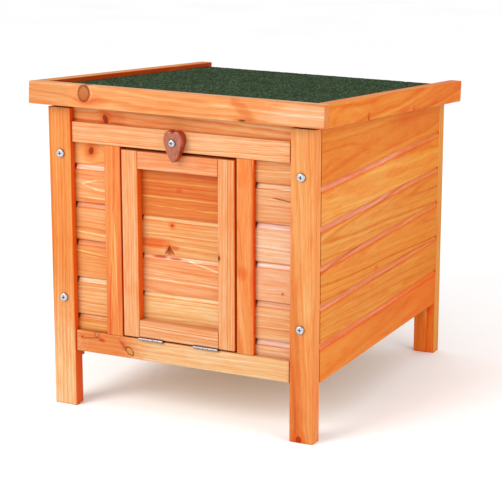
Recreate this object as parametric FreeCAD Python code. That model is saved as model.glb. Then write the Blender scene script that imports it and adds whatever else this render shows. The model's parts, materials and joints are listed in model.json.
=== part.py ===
"""Small wooden rabbit hutch with a drop-down front door and a sloping felted lid.

Units are millimetres, +Z is up and the front faces -Y.  The origin is the centre of the bounding
box's base, on the floor between the four legs.
"""
import FreeCAD, Part
import math
import os

# ---------------------------------------------------------------- driving dimensions
# whole hutch
lid_width = 420.0
overall_depth = 485.0
overall_height = 441.0
roof_slope = math.radians(4.8)      # the lid falls towards the back

# lid frame, seen square to the sloping panel
lid_board_height = 29.5
lid_board_thickness = 17.5
felt_recess = 6.0                   # top of the boards down to the top of the felt
felt_thickness = 2.5
panel_thickness = 6.0
panel_back_y = 235.0                # the side boards run on past the panel

# body
body_width = 382.0
front_y = -225.5                    # faces of the front legs
back_y = 225.5                      # faces of the back legs
leg_width = 33.0
leg_thickness = 21.0
leg_rebate_width = 2.0              # step in the leg's inner side, behind the front half
leg_rebate_from = 10.2
leg_side_strip = 1.5                # the strip facing the side planks is cut back by this much
leg_top_gap = 3.5                   # daylight between a leg's top and the lid board
wall_gap = 0.8                      # wall tops to the underside of the lid's panel
back_wall_gap = 2.0                 # the same over the back wall, where the hinge leaves lie
edge_radius = 1.5

# planks
plank_thickness = 10.5
plank_pitch = 51.0
wall_bottom_z = 77.0
course_count = 6
bevel_height = 7.0
bevel_depth = 3.5
lap_height = 4.0
lap_gap = 0.3
wall_setback = 10.5                 # leg face back to plank face, front and back walls

# front frame
rail_setback = 3.4
header_z = (361.5, 388.5)
bottom_rail_z = (77.0, 105.8)
rail_left_gap = 0.3
rail_right_gap = 2.0
batten_width = 24.0
batten_setback = 4.0
batten_rebate_width = 10.0
door_stop_thickness = 8.0
door_stop_inset = 8.0               # from the battens' outer edges
door_stop_overlap = 9.0             # down behind the door's top rail
door_stop_rise = 11.0               # up behind the header
back_rail_drop = 22.0               # underside of the back rail below the header's

# door
door_width = 163.0
door_centre_x = -2.5
door_z = (108.2, 357.9)
door_setback = 3.0
door_thickness = 17.3
door_gap = 2.5                      # door edge to batten
stile_width = 23.5
door_rail_height = 23.5
door_plank_recess = 12.0
door_plank_tuck = 6.0               # plank edges held behind the door's frame
door_plank_bevel_height = 5.6
door_plank_bevel_depth = 1.9
door_plank_lip = 2.1                # thickness left in front of a lap
door_plank_lap = 3.0
door_plank_gap = 0.2
door_groove_z = (169.8, 220.8, 271.8)

# latch
latch_pivot_z = 375.0
latch_thickness = 11.0
latch_screw_hole_radius = 2.4
latch_screw_head_radius = 4.5
latch_screw_head_height = 2.6
latch_screw_length = 24.0

# corner battens, floor
corner_batten = 15.0
corner_batten_bottom_z = 62.0
bearer_height = 14.2
floor_thickness = 8.0

# fasteners
leg_screw_z = (150.6, 346.0)
leg_screw_head_radius = 5.5
leg_screw_head_height = 3.2
leg_screw_shank_radius = 2.2
leg_screw_length = 32.0

# butt hinges
barrel_radius = 1.9
pin_radius = 0.9
pin_clearance = 0.05
leaf_thickness = 0.9
knuckle_count = 5
knuckle_gap = 0.4
door_hinge_length = 35.0
lid_hinge_length = 45.0
lid_hinge_x = 115.0
leaf_depth = 14.0
leaf_offset = 2.1                   # barrel's axis to the near edge of a leaf
hinge_screw_length = 12.0
lid_hinge_screw_length = 4.5

# ---------------------------------------------------------------- derived sizes
half_body = body_width / 2
lid_front_top_y = -overall_depth / 2 + lid_board_height * math.sin(roof_slope)
lid_length = (overall_depth - lid_board_height * math.sin(roof_slope)) / math.cos(roof_slope)
lid_inner_half = lid_width / 2 - lid_board_thickness
panel_underside = felt_recess + felt_thickness + panel_thickness
front_wall_back_y = front_y + leg_thickness
back_wall_front_y = back_y - leg_thickness
side_plank_inner = half_body - plank_thickness
leg_inner = half_body - leg_width
plank_end_x = leg_inner + leg_rebate_width - lap_gap
door_x = (door_centre_x - door_width / 2, door_centre_x + door_width / 2)
door_opening_x = (door_x[0] + stile_width, door_x[1] - stile_width)
left_batten_x = (door_x[0] - door_gap - batten_width, door_x[0] - door_gap)
right_batten_x = (door_x[1] + door_gap, door_x[1] + door_gap + batten_width)
floor_z = wall_bottom_z + 0.3 + bearer_height


def lid_height(y, below_top):
    """Height at y of the sloping plane that lies below_top under the lid's top edges."""
    fall = (y - lid_front_top_y) * math.tan(roof_slope)
    return overall_height - fall - below_top / math.cos(roof_slope)


# ---------------------------------------------------------------- small helpers
def vec(x, y, z):
    return FreeCAD.Vector(x, y, z)


def block(x, y, z):
    """Box from three (low, high) pairs."""
    return Part.makeBox(x[1] - x[0], y[1] - y[0], z[1] - z[0], vec(x[0], y[0], z[0]))


def round_edges(shape, axis, radius=edge_radius, where=None):
    """Round the straight edges that run along axis ('x', 'y' or 'z')."""
    direction = {"x": vec(1, 0, 0), "y": vec(0, 1, 0), "z": vec(0, 0, 1)}[axis]
    chosen = []
    for edge in shape.Edges:
        if len(edge.Vertexes) != 2:
            continue
        run = edge.Vertexes[1].Point.sub(edge.Vertexes[0].Point)
        if abs(run.dot(direction)) < 0.999 * run.Length:
            continue
        if where is None or where(edge.CenterOfMass):
            chosen.append(edge)
    return shape.makeFillet(radius, chosen)


def prism(points, axis, start, end):
    """Closed outline pulled along one axis; the outline's two numbers are the other two axes."""
    place = {
        "x": lambda a, b: vec(start, a, b),
        "y": lambda a, b: vec(a, start, b),
        "z": lambda a, b: vec(a, b, start),
    }[axis]
    length = end - start
    pull = {"x": vec(length, 0, 0), "y": vec(0, length, 0), "z": vec(0, 0, length)}[axis]
    corners = [place(a, b) for a, b in points]
    outline = Part.makePolygon(corners + corners[:1])
    return Part.Face(outline).extrude(pull)


def mirrored(shape, normal):
    return shape.mirror(vec(0, 0, 0), normal)


def compound(shapes):
    return Part.makeCompound(shapes)


def drilled(leaves, screws):
    """Hinge leaves with the room their screws take cut out of them."""
    return compound([leaf.cut(screws) for leaf in leaves])


def cut_below_lid(shape, below_top):
    """Keep what lies under the sloping plane below_top under the lid's top edges."""
    front = -overall_depth
    back = overall_depth
    outline = [
        (front, lid_height(front, below_top)),
        (back, lid_height(back, below_top)),
        (back, overall_height * 2),
        (front, overall_height * 2),
    ]
    return shape.cut(prism(outline, "x", -lid_width, lid_width))


# ---------------------------------------------------------------- fasteners
def phillips_recess(depth):
    """Cross-shaped recess whose mouth is at z = 0 and which goes down."""
    arm = block((-2.6, 2.6), (-0.6, 0.6), (-depth, 0.1))
    return arm.fuse(arm.rotated(vec(0, 0, 0), vec(0, 0, 1), 90))


def pan_screw(head_radius, head_height, shank_radius, length):
    """Pan-head screw pointing down; the head's underside is at z = 0."""
    head = Part.makeCylinder(head_radius, head_height)
    rim = [edge for edge in head.Edges if edge.CenterOfMass.z > head_height - 0.1]
    head = head.makeFillet(head_height * 0.6, rim)
    recess = phillips_recess(head_height * 0.6)
    recess.translate(vec(0, 0, head_height))
    tip_height = shank_radius * 2
    shank = Part.makeCylinder(shank_radius, length - tip_height, vec(0, 0, -(length - tip_height)))
    tip = Part.makeCone(0.3, shank_radius, tip_height, vec(0, 0, -length))
    return head.cut(recess).fuse([shank, tip])


def flat_screw(length):
    """Small countersunk hinge screw pointing down; its head is flush with z = 0."""
    head = Part.makeCone(1.4, 2.4, leaf_thickness, vec(0, 0, -leaf_thickness))
    shank = Part.makeCylinder(1.4, length, vec(0, 0, -length))
    recess = phillips_recess(0.4)
    recess.scale(0.4)
    return head.fuse(shank).cut(recess)


def placed(shape, position, turn_x=0.0):
    """Copy of a shape turned about X and moved."""
    copy = shape.copy()
    copy.rotate(vec(0, 0, 0), vec(1, 0, 0), turn_x)
    copy.translate(position)
    return copy


# ---------------------------------------------------------------- planks
def plank_profile(low, high, lapped_below, lapped_above):
    """Section of one plank as (depth behind the wall's face, height).

    The face is flat with a bevelled top; a tongue stands up behind the bevel and the next plank's
    lower edge hangs in front of it.
    """
    tongue = bevel_depth + 0.5
    profile = [(0, low)]
    if lapped_above:
        profile += [
            (0, high - bevel_height),
            (bevel_depth, high),
            (tongue, high),
            (tongue, high + lap_height),
            (plank_thickness, high + lap_height),
        ]
    else:
        profile += [(0, high), (plank_thickness, high)]
    if lapped_below:
        rebate_top = low + lap_height + lap_gap
        profile += [
            (plank_thickness, rebate_top),
            (tongue - lap_gap, rebate_top),
            (tongue - lap_gap, low),
        ]
    else:
        profile += [(plank_thickness, low)]
    return profile


def courses(bottom, top):
    """(low, high, lapped below, lapped above) for each course from bottom to top."""
    grooves = [wall_bottom_z + plank_pitch * number for number in range(1, course_count)]
    lows = [bottom] + grooves
    highs = grooves + [top]
    last = len(lows) - 1
    return [(lows[i], highs[i], i > 0, i < last) for i in range(len(lows))]


def wall_planks(x_range, bottom, top, outer_y, inward):
    """Planks of a front or back wall; inward is +1 when the wall's inside is towards +Y."""
    planks = []
    for low, high, below, above in courses(bottom, top):
        profile = plank_profile(low, high, below, above)
        outline = [(outer_y + inward * depth, z) for depth, z in profile]
        planks.append(prism(outline, "x", x_range[0], x_range[1]))
    return planks


def side_planks():
    """Planks of the right wall; the top one is cut to the slope of the lid."""
    front_end = front_wall_back_y + 0.1
    back_end = back_wall_front_y + leg_side_strip - lap_gap
    planks = []
    for low, high, below, above in courses(wall_bottom_z, overall_height):
        profile = plank_profile(low, high, below, above)
        outline = [(half_body - depth, z) for depth, z in profile]
        plank = prism(outline, "y", front_end, back_end)
        if not above:
            plank = cut_below_lid(plank, panel_underside + wall_gap)
        planks.append(plank)
    return planks


# ---------------------------------------------------------------- legs and frame
def leg_blank():
    """Front right leg before its top is cut; stepped where the planks meet it."""
    inner = leg_inner
    rebate = inner + leg_rebate_width
    strip = half_body - plank_thickness
    outline = [
        (half_body, front_y),
        (inner, front_y),
        (inner, front_y + leg_rebate_from),
        (rebate, front_y + leg_rebate_from),
        (rebate, front_wall_back_y),
        (strip, front_wall_back_y),
        (strip, front_wall_back_y - leg_side_strip),
        (half_body, front_wall_back_y - leg_side_strip),
    ]
    leg = prism(outline, "z", 0, overall_height)
    return round_edges(leg, "z", where=lambda p: p.y < front_y + 0.1)


def leg_screws(x_side, y_side):
    """Screws of one leg, from its face into the corner batten behind it."""
    head = (leg_screw_head_radius, leg_screw_head_height)
    screw = pan_screw(*head, leg_screw_shank_radius, leg_screw_length)
    x = x_side * (side_plank_inner - corner_batten / 2)
    face = front_y if y_side < 0 else back_y
    turn = 90 if y_side < 0 else -90
    return [placed(screw, vec(x, face, z), turn) for z in leg_screw_z]


def corner_batten_right_front():
    x_range = (side_plank_inner - corner_batten, side_plank_inner)
    y_range = (front_wall_back_y, front_wall_back_y + corner_batten)
    batten = block(x_range, y_range, (corner_batten_bottom_z, overall_height))

    def inner_corner(point):
        return point.x < x_range[0] + 0.1 and point.y > y_range[1] - 0.1

    return round_edges(batten, "z", 1.0, inner_corner)


def rail(z_range, thickness):
    """Rail between the front legs, set back a little from their faces."""
    x_range = (-leg_inner + rail_left_gap, leg_inner - rail_right_gap)
    face = front_y + rail_setback
    shape = block(x_range, (face, face + thickness), z_range)
    return round_edges(shape, "x", where=lambda p: p.y < face + 0.1)


def door_batten(x_range, rebate_side):
    """Upright beside the door; the short planks end in its rebate at the back."""
    face = front_y + batten_setback
    z_range = (bottom_rail_z[1] + 0.2, header_z[0] - 0.2)
    shape = block(x_range, (face, front_wall_back_y), z_range)
    shape = round_edges(shape, "z", where=lambda p: p.y < face + 0.1)
    if rebate_side < 0:
        rebate_x = (x_range[0] - 1, x_range[0] + batten_rebate_width)
    else:
        rebate_x = (x_range[1] - batten_rebate_width, x_range[1] + 1)
    rebate_y = (front_y + leg_rebate_from, front_wall_back_y + 1)
    return shape.cut(block(rebate_x, rebate_y, (0, overall_height)))


# ---------------------------------------------------------------- hinges
def knuckle_spans(length):
    """(start, end) of each knuckle along a hinge that starts at 0."""
    width = (length - knuckle_gap * (knuckle_count - 1)) / knuckle_count
    step = width + knuckle_gap
    return [(step * i, step * i + width) for i in range(knuckle_count)]


def hinge_leaf(length, plate_v, plate_w, tab_v, tab_w, knuckles, bore_radius):
    """One leaf about an axis along X at the origin; v is along Y and w along Z."""
    leaf = block((0, length), plate_v, plate_w)
    for start, end in knuckles:
        tab = block((start, end), tab_v, tab_w)
        barrel = Part.makeCylinder(barrel_radius, end - start, vec(start, 0, 0), vec(1, 0, 0))
        leaf = leaf.fuse([tab, barrel])
    bore = Part.makeCylinder(bore_radius, length + 2, vec(-1, 0, 0), vec(1, 0, 0))
    return leaf.cut(bore).removeSplitter()


def hinge_pin(length):
    pin = Part.makeCylinder(pin_radius, length, vec(0, 0, 0), vec(1, 0, 0))
    cap = Part.makeCylinder(barrel_radius * 0.75, 0.6, vec(0, 0, 0), vec(1, 0, 0))
    return pin.fuse([cap.translated(vec(-0.6, 0, 0)), cap.translated(vec(length, 0, 0))])


def fixed_knuckles(length):
    return knuckle_spans(length)[0::2]


def moving_knuckles(length):
    return knuckle_spans(length)[1::2]


def door_hinges():
    """Frame leaves, door leaves, pins, frame screws and door screws of the two door hinges."""
    axis_y = front_y + rail_setback - 2.0
    axis_z = (bottom_rail_z[1] + door_z[0]) / 2
    half_gap = (door_z[0] - bottom_rail_z[1]) / 2
    plate_v = (leaf_offset, leaf_offset + leaf_depth)
    tab_v = (0, leaf_offset + 0.1)
    low_w = (-half_gap, -half_gap + leaf_thickness)
    high_w = (half_gap - leaf_thickness, half_gap)
    length = door_hinge_length
    fixed = fixed_knuckles(length)
    moving = moving_knuckles(length)
    moving_bore = pin_radius + pin_clearance
    parts = {"frame": [], "door": [], "pins": [], "frame_screws": [], "door_screws": []}
    for start_x in (door_opening_x[0], door_opening_x[1] - length):
        origin = vec(start_x, axis_y, axis_z)
        frame_leaf = hinge_leaf(length, plate_v, low_w, tab_v, low_w, fixed, pin_radius)
        door_leaf = hinge_leaf(length, plate_v, high_w, tab_v, high_w, moving, moving_bore)
        parts["frame"].append(frame_leaf.translated(origin))
        parts["door"].append(door_leaf.translated(origin))
        parts["pins"].append(hinge_pin(length).translated(origin))
        for screw_x in (start_x + length * 0.2, start_x + length * 0.8):
            screw_y = axis_y + plate_v[0] + leaf_depth * 0.5
            down = vec(screw_x, screw_y, axis_z + low_w[1])
            up = vec(screw_x, screw_y, axis_z + high_w[0])
            parts["frame_screws"].append(placed(flat_screw(hinge_screw_length), down))
            parts["door_screws"].append(placed(flat_screw(hinge_screw_length), up, 180))
    return parts


lid_hinge_axis_y = back_y - rail_setback + 2.3
lid_hinge_drop = barrel_radius + 0.35          # pin axis under the panel's underside
lid_hinge_axis_z = lid_height(lid_hinge_axis_y, panel_underside + lid_hinge_drop)


def lid_hinges():
    """Body leaves, lid leaves, pins, body screws and lid screws of the two lid hinges."""
    length = lid_hinge_length
    fixed = fixed_knuckles(length)
    moving = moving_knuckles(length)
    moving_bore = pin_radius + pin_clearance
    plate = (-leaf_offset - leaf_depth, -leaf_offset)
    plate_middle = -leaf_offset - leaf_depth / 2
    wall_v = (-2.3, -2.3 + leaf_thickness)
    under_w = (lid_hinge_drop - leaf_thickness, lid_hinge_drop)
    slope_degrees = math.degrees(roof_slope)
    parts = {"body": [], "lid": [], "pins": [], "body_screws": [], "lid_screws": []}
    for start_x in (-lid_hinge_x - length / 2, lid_hinge_x - length / 2):
        origin = vec(start_x, lid_hinge_axis_y, lid_hinge_axis_z)
        tab = (-leaf_offset - 0.1, 0)
        body_leaf = hinge_leaf(length, wall_v, plate, wall_v, tab, fixed, pin_radius)
        lid_tab_w = (leaf_thickness, lid_hinge_drop)
        lid_leaf = hinge_leaf(length, plate, under_w, tab, lid_tab_w, moving, moving_bore)
        parts["body"].append(body_leaf.translated(origin))
        parts["lid"].append(placed(lid_leaf, origin, -slope_degrees))
        parts["pins"].append(hinge_pin(length).translated(origin))
        for along in (0.2, 0.8):
            screw_x = length * along
            on_wall = vec(screw_x, wall_v[1], plate_middle)
            under_lid = vec(screw_x, plate_middle, under_w[0])
            body_screw = placed(flat_screw(hinge_screw_length), on_wall, -90)
            lid_screw = placed(flat_screw(lid_hinge_screw_length), under_lid, 180)
            parts["body_screws"].append(body_screw.translated(origin))
            parts["lid_screws"].append(placed(lid_screw, origin, -slope_degrees))
    return parts


# ---------------------------------------------------------------- door, latch, lid
def door_panel_planks():
    """Four lapped planks that fill the door's frame at its back."""
    tuck = door_plank_tuck
    x_range = (door_opening_x[0] - tuck, door_opening_x[1] + tuck)
    face = front_y + door_setback + door_plank_recess
    back = front_y + door_setback + door_thickness
    tongue = face + door_plank_lip + door_plank_gap
    rebate_height = door_plank_lap + door_plank_gap
    bottom = door_z[0] + door_rail_height - tuck
    top = door_z[1] - door_rail_height + tuck
    edges = [bottom, *door_groove_z, top]
    planks = []
    for low, high in zip(edges, edges[1:]):
        outline = [(face, low)]
        if high != top:
            outline += [
                (face, high - door_plank_bevel_height),
                (face + door_plank_bevel_depth, high),
                (tongue, high),
                (tongue, high + door_plank_lap),
                (back, high + door_plank_lap),
            ]
        else:
            outline += [(face, high), (back, high)]
        if low != bottom:
            outline += [
                (back, low + rebate_height),
                (face + door_plank_lip, low + rebate_height),
                (face + door_plank_lip, low),
            ]
        else:
            outline += [(back, low)]
        planks.append(prism(outline, "x", x_range[0], x_range[1]))
    return planks


def door_frame_members():
    """Left stile, right stile, top rail and bottom rail, rebated at the back for the planks."""
    face = front_y + door_setback
    y_range = (face, face + door_thickness)
    tuck = door_plank_tuck
    rebate = block(
        (door_opening_x[0] - tuck, door_opening_x[1] + tuck),
        (face + door_plank_recess, y_range[1] + 1),
        (door_z[0] + door_rail_height - tuck, door_z[1] - door_rail_height + tuck),
    )

    def at_face(point):
        return point.y < face + 0.1

    left = round_edges(block((door_x[0], door_opening_x[0]), y_range, door_z), "z", where=at_face)
    right = round_edges(block((door_opening_x[1], door_x[1]), y_range, door_z), "z", where=at_face)
    rail_x = (door_opening_x[0] + 0.2, door_opening_x[1] - 0.2)
    top_z = (door_z[1] - door_rail_height, door_z[1] - 0.3)
    bottom_z = (door_z[0], door_z[0] + door_rail_height)
    top = round_edges(block(rail_x, y_range, top_z), "x", where=at_face)
    bottom = round_edges(block(rail_x, y_range, bottom_z), "x", where=at_face)
    return [member.cut(rebate) for member in (left, right, top, bottom)]


def latch_turn():
    """Drop-shaped turn button with a notch in its top, turning on one screw."""
    right_side = [
        ((0, 13.0), (6.0, 15.2), (12.0, 9.5)),
        ((12.0, 9.5), (13.8, 3.0), (11.6, -5.5)),
        ((11.6, -5.5), (8.2, -15.5), (3.4, -23.2)),
        ((3.4, -23.2), (0, -25.5), (-3.4, -23.2)),
    ]
    left_side = [tuple((-x, z) for x, z in reversed(arc)) for arc in reversed(right_side[:3])]
    edges = [Part.Arc(*[vec(x, 0, z) for x, z in arc]).toShape() for arc in right_side + left_side]
    outline = Part.Face(Part.Wire(edges))
    body = outline.extrude(vec(0, -latch_thickness, 0))
    boss = Part.makeCylinder(5.0, 0.8, vec(0, 0, 0), vec(0, 1, 0))
    hole_length = latch_thickness + 4
    hole = Part.makeCylinder(latch_screw_hole_radius, hole_length, vec(0, 2, 0), vec(0, -1, 0))
    return body.fuse(boss).cut(hole).removeSplitter().translated(latch_back)


latch_back = vec(door_centre_x, front_y + rail_setback - 1.0, latch_pivot_z)


def latch_screw():
    """Pan-head screw through the latch into the header and the board behind it."""
    face_y = latch_back.y - latch_thickness - 0.1
    head = (latch_screw_head_radius, latch_screw_head_height)
    screw = pan_screw(*head, latch_screw_hole_radius - 0.05, latch_screw_length)
    return placed(screw, vec(latch_back.x, face_y, latch_back.z), 90)


def on_lid(shape):
    """Move a shape drawn on a level lid, front top edge at the origin, to the sloping lid."""
    return placed(shape, vec(0, lid_front_top_y, overall_height), -math.degrees(roof_slope))


def lid_parts():
    """Front, left and right boards, panel and felt."""
    board_w = (-lid_board_height, 0)
    half = lid_width / 2
    front = block((-half, half), (0, lid_board_thickness), board_w)
    front = round_edges(front, "x")
    right = block((lid_inner_half, half), (lid_board_thickness, lid_length), board_w)
    right = round_edges(right, "y")
    panel_back = (panel_back_y - lid_front_top_y) / math.cos(roof_slope)
    panel_w = (-panel_underside, -panel_underside + panel_thickness)
    panel = block((-lid_inner_half, lid_inner_half), (lid_board_thickness, panel_back), panel_w)
    felt_x = (-lid_inner_half + 0.5, lid_inner_half - 0.5)
    felt_w = (panel_w[1], panel_w[1] + felt_thickness)
    felt = block(felt_x, (lid_board_thickness + 0.5, panel_back - 1.0), felt_w)
    return {
        "lid_front_board": on_lid(front),
        "lid_right_board": on_lid(right),
        "lid_left_board": on_lid(mirrored(right, vec(1, 0, 0))),
        "lid_panel": on_lid(panel),
        "lid_felt": on_lid(felt),
    }


# ---------------------------------------------------------------- the whole hutch
def build():
    """Every node's shape, by name."""
    nodes = {}
    right_x = vec(1, 0, 0)
    front_back = vec(0, 1, 0)

    # legs and corner battens, each cut to the lid's slope where it stands
    front_leg = leg_blank()
    legs = {"front": front_leg, "back": mirrored(front_leg, front_back)}
    front_batten = corner_batten_right_front()
    battens = {"front": front_batten, "back": mirrored(front_batten, front_back)}
    screws = []
    for side, x_side in (("right", 1), ("left", -1)):
        for end, y_side in (("front", -1), ("back", 1)):
            own_screws = leg_screws(x_side, y_side)
            screws += own_screws
            leg_shape = cut_below_lid(legs[end], lid_board_height + leg_top_gap)
            batten_shape = cut_below_lid(battens[end], panel_underside + back_wall_gap)
            if x_side < 0:
                leg_shape = mirrored(leg_shape, right_x)
                batten_shape = mirrored(batten_shape, right_x)
            nodes[f"{end}_leg_{side}"] = leg_shape.cut(own_screws)
            nodes[f"corner_batten_{end}_{side}"] = batten_shape.cut(own_screws)
    nodes["leg_screws"] = compound(screws)

    # side walls
    for number, plank in enumerate(side_planks(), start=1):
        nodes[f"side_right_plank_{number}"] = plank
        nodes[f"side_left_plank_{number}"] = mirrored(plank, right_x)

    # front wall
    plank_y = front_y + wall_setback
    top_board_z = (header_z[0] + 0.2, overall_height)
    top_board = block((-plank_end_x, plank_end_x), (plank_y, front_wall_back_y), top_board_z)
    top_board = cut_below_lid(top_board, panel_underside + wall_gap)
    planks_bottom = bottom_rail_z[1] + 0.2
    planks_top = header_z[0]
    left_end = left_batten_x[0] + batten_rebate_width - lap_gap
    right_end = right_batten_x[1] - batten_rebate_width + lap_gap
    left_planks = wall_planks((-plank_end_x, left_end), planks_bottom, planks_top, plank_y, 1)
    right_planks = wall_planks((right_end, plank_end_x), planks_bottom, planks_top, plank_y, 1)
    header = rail(header_z, wall_setback - rail_setback)
    bottom_rail = rail(bottom_rail_z, leg_thickness - rail_setback)
    nodes["front_planks_left"] = compound(left_planks)
    nodes["front_planks_right"] = compound(right_planks)
    nodes["front_batten_left"] = door_batten(left_batten_x, -1)
    nodes["front_batten_right"] = door_batten(right_batten_x, 1)
    stop_x = (left_batten_x[0] + door_stop_inset, right_batten_x[1] - door_stop_inset)
    stop_y = (front_wall_back_y, front_wall_back_y + door_stop_thickness)
    stop_z = (door_z[1] - door_stop_overlap, header_z[0] + door_stop_rise)
    nodes["door_stop"] = block(stop_x, stop_y, stop_z)

    # back wall
    back_plank_y = back_y - wall_setback
    wall_x = (-plank_end_x, plank_end_x)
    back_planks = wall_planks(wall_x, wall_bottom_z, overall_height, back_plank_y, -1)
    for number, plank in enumerate(back_planks, start=1):
        if number == course_count:
            plank = cut_below_lid(plank, panel_underside + back_wall_gap)
        nodes[f"back_plank_{number}"] = plank
    rail_face = back_y - rail_setback
    top_rail_x = (-leg_inner + rail_left_gap, leg_inner - rail_left_gap)
    top_rail_z = (header_z[0] - back_rail_drop, overall_height)
    top_rail = block(top_rail_x, (back_plank_y, rail_face), top_rail_z)
    top_rail = cut_below_lid(top_rail, panel_underside + back_wall_gap)

    # floor
    bearer_x = (side_plank_inner - corner_batten, side_plank_inner)
    bearer_y = back_wall_front_y - corner_batten - 0.3
    bearer = block(bearer_x, (-bearer_y, bearer_y), (floor_z - bearer_height, floor_z))
    nodes["floor_bearer_right"] = bearer
    nodes["floor_bearer_left"] = mirrored(bearer, right_x)
    floor_half_x = side_plank_inner - 0.3
    floor_half_y = back_wall_front_y - 0.3
    floor_range_z = (floor_z, floor_z + floor_thickness)
    floor = block((-floor_half_x, floor_half_x), (-floor_half_y, floor_half_y), floor_range_z)
    notch_x = side_plank_inner - corner_batten - 0.3
    notch_y = back_wall_front_y - corner_batten - 0.3
    for x_side in (-1, 1):
        for y_side in (-1, 1):
            notch = block((notch_x, lid_width), (notch_y, lid_width), (0, overall_height))
            if x_side < 0:
                notch = mirrored(notch, right_x)
            if y_side < 0:
                notch = mirrored(notch, front_back)
            floor = floor.cut(notch)
    nodes["floor_panel"] = floor

    # door and its hinges
    hinge = door_hinges()
    left_stile, right_stile, door_top, door_bottom = door_frame_members()
    nodes["door_stile_left"] = left_stile
    nodes["door_stile_right"] = right_stile
    nodes["door_top_rail"] = door_top
    nodes["door_bottom_rail"] = door_bottom.cut(hinge["door_screws"])
    nodes["door_planks"] = compound(door_panel_planks())
    nodes["door_hinge_leaves"] = drilled(hinge["door"], hinge["door_screws"])
    nodes["door_hinge_screws"] = compound(hinge["door_screws"])
    nodes["door_hinge_frame_leaves"] = drilled(hinge["frame"], hinge["frame_screws"])
    nodes["front_bottom_rail"] = bottom_rail.cut(hinge["frame_screws"])

    # latch
    screw = latch_screw()
    nodes["latch"] = latch_turn()
    nodes["latch_screw"] = screw
    nodes["front_header_rail"] = header.cut(screw)
    nodes["front_top_board"] = top_board.cut(screw)

    # lid and its hinges
    lid_hinge = lid_hinges()
    nodes.update(lid_parts())
    nodes["lid_panel"] = nodes["lid_panel"].cut(lid_hinge["lid_screws"])
    nodes["lid_hinge_leaves"] = drilled(lid_hinge["lid"], lid_hinge["lid_screws"])
    nodes["lid_hinge_screws"] = compound(lid_hinge["lid_screws"])
    nodes["lid_hinge_body_leaves"] = drilled(lid_hinge["body"], lid_hinge["body_screws"])
    nodes["back_top_rail"] = top_rail.cut(lid_hinge["body_screws"])
    top_plank = f"back_plank_{course_count}"
    nodes[top_plank] = nodes[top_plank].cut(lid_hinge["body_screws"])
    nodes["hinge_pins"] = compound(hinge["pins"] + lid_hinge["pins"])
    nodes["frame_hinge_screws"] = compound(hinge["frame_screws"] + lid_hinge["body_screws"])
    return nodes


os.makedirs("parts", exist_ok=True)
for name, shape in build().items():
    shape.exportStep(f"parts/{name}.step")
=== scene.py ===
"""Looks of the rabbit hutch: a small glazed-pine hutch with a green felt lid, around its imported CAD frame."""

import json
import math
import random

import bmesh
import bpy
from mathutils import Matrix, Vector


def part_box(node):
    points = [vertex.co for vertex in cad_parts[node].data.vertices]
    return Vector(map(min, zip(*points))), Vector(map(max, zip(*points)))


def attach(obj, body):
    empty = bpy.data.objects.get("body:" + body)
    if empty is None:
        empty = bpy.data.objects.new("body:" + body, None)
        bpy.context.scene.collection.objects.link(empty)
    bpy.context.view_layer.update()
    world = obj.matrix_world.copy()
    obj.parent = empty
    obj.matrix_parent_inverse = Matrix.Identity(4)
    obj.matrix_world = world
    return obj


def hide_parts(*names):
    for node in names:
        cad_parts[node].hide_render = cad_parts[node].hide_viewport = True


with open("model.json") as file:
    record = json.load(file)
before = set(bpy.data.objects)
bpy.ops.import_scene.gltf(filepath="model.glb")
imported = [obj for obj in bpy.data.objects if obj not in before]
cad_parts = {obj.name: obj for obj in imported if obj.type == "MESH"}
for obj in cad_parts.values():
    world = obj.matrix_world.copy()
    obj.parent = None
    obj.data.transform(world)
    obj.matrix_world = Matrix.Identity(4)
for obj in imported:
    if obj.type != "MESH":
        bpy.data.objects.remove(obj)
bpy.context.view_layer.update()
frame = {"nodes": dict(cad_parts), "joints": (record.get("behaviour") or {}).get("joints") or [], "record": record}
scene = bpy.context.scene
nodes = frame["nodes"]

MM = 0.001
AXES = {"x": 0, "y": 1, "z": 2}

# Camera and light
CAMERA_PLACE = (1.0948, -2.2375, 0.8236)
CAMERA_YAW = math.radians(-26.216)
CAMERA_PITCH = math.radians(-14.464)
CAMERA_LENS = 132.2
WORLD_STRENGTH = 0.62
EXPOSURE = 0.72
KEY = {"from": (-0.95, -1.95, 1.45), "size": 1.3, "watts": 26.0}
FILL = {"from": (2.1, -0.55, 0.95), "size": 1.5, "watts": 9.0}

# Pine, from latewood to pale sapwood
PINE_DARK = (0.48, 0.120, 0.017)
PINE_MID = (0.565, 0.255, 0.086)
PINE_LIGHT = (0.61, 0.41, 0.215)
PINE_ORANGE = (1.0, 0.74, 0.48)
# Painted shade: multiplied into wood in recesses, joints and near other parts
RECESS_SHADE_TINT = (0.94, 0.50, 0.26)
END_TINT = (0.92, 0.72, 0.52)
# Painted shade and bounced light: the saturated red-orange of side faces inside recesses
FLANK_SHADE_BOUNCE_TINT = (1.25, 0.46, 0.06)
# Paler cut wood and a painted highlight on the upward bevels of lapped planks
BEVEL_PALE_HIGHLIGHT_TINT = (0.98, 1.04, 1.45)
ARRIS_TINT = (0.97, 0.50, 0.24)
# Painted shade in the gap at a bevel's end beside the neighbouring board
NOTCH_SHADE_TINT = (0.22, 0.07, 0.03)
HALO_TINT = (0.93, 0.56, 0.25)
KNOT_RAGGED = 0.5
RIMMED_KNOT_RAGGED = 0.22
FADE_FROM, FADE_TO = -90.0, 220.0      # millimetres along the grain from the board's middle
SHADE_REACH = 0.0065                   # metres of a recess within which painted shade darkens the wood


class Value:
    """A shader socket that adds, multiplies and so on like a number."""

    def __init__(self, graph, socket):
        self.graph = graph
        self.socket = socket

    def __add__(self, other):
        return self.graph.math("ADD", self, other)

    def __sub__(self, other):
        return self.graph.math("SUBTRACT", self, other)

    def __rsub__(self, other):
        return self.graph.math("SUBTRACT", other, self)

    def __mul__(self, other):
        return self.graph.math("MULTIPLY", self, other)

    def __truediv__(self, other):
        return self.graph.math("DIVIDE", self, other)

    __radd__ = __add__
    __rmul__ = __mul__


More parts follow.
